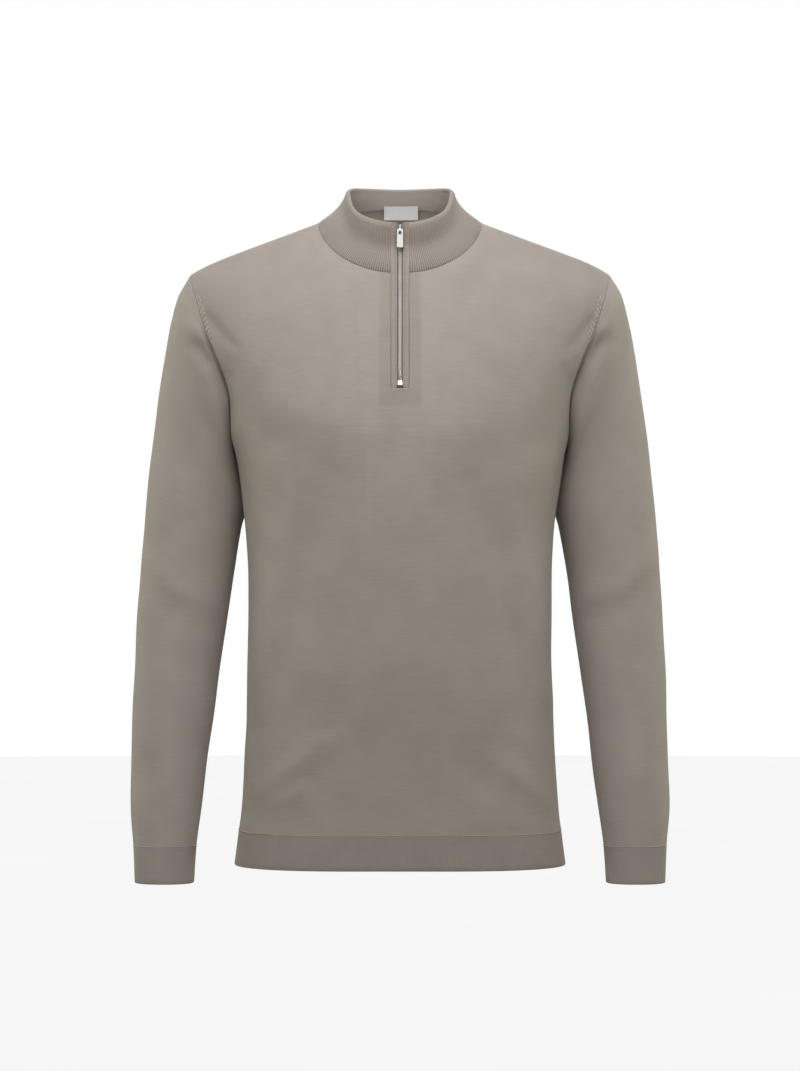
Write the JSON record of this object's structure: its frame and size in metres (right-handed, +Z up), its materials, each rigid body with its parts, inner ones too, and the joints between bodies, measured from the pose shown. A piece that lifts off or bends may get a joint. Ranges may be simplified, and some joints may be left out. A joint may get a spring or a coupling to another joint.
{
  "type": "quarter-zip sweater",
  "caption": "Long-sleeved fine-knit sweater with a ribbed stand collar, a short closed front zip with a hinged pull tab, ribbed cuffs and hem, filled out with no wearer.",
  "frame": {"origin": "in the middle of the neck, level with the points where the shoulder seams meet the collar: where the wearer's shoulders and neck carry the sweater", "axes": "+Z up; the front faces -Y; +X to the right as seen from the front"},
  "size_m": [0.579, 0.2616, 0.7504],
  "materials": {
    "knit": "fine jersey knit, matt",
    "rib": "fine rib knit, matt",
    "tape": "woven tape",
    "zip_metal": "polished",
    "label": "woven, left bare"
  },
  "bodies": {
    "garment": {"front_panel": "knit", "back_panel": "knit", "sleeve_left": "knit", "sleeve_right": "knit", "collar": "rib", "hem_band": "rib", "cuff_left": "rib", "cuff_right": "rib", "placket_left": "rib", "placket_right": "rib", "zip_tape_left": "tape", "zip_tape_right": "tape", "zip_chain": "zip_metal", "zip_stop": "zip_metal", "zip_slider": "zip_metal", "neck_label": "label"},
    "pull": {"zip_pull": "zip_metal"}
  },
  "joints": [
    {"name": "pull_hinge", "type": "hinge", "parent": "garment", "child": "pull", "pos_m": [0, -0.06785, -0.0143], "axis": [-1, 0, 0], "range_deg": [0, 165]}
  ]
}
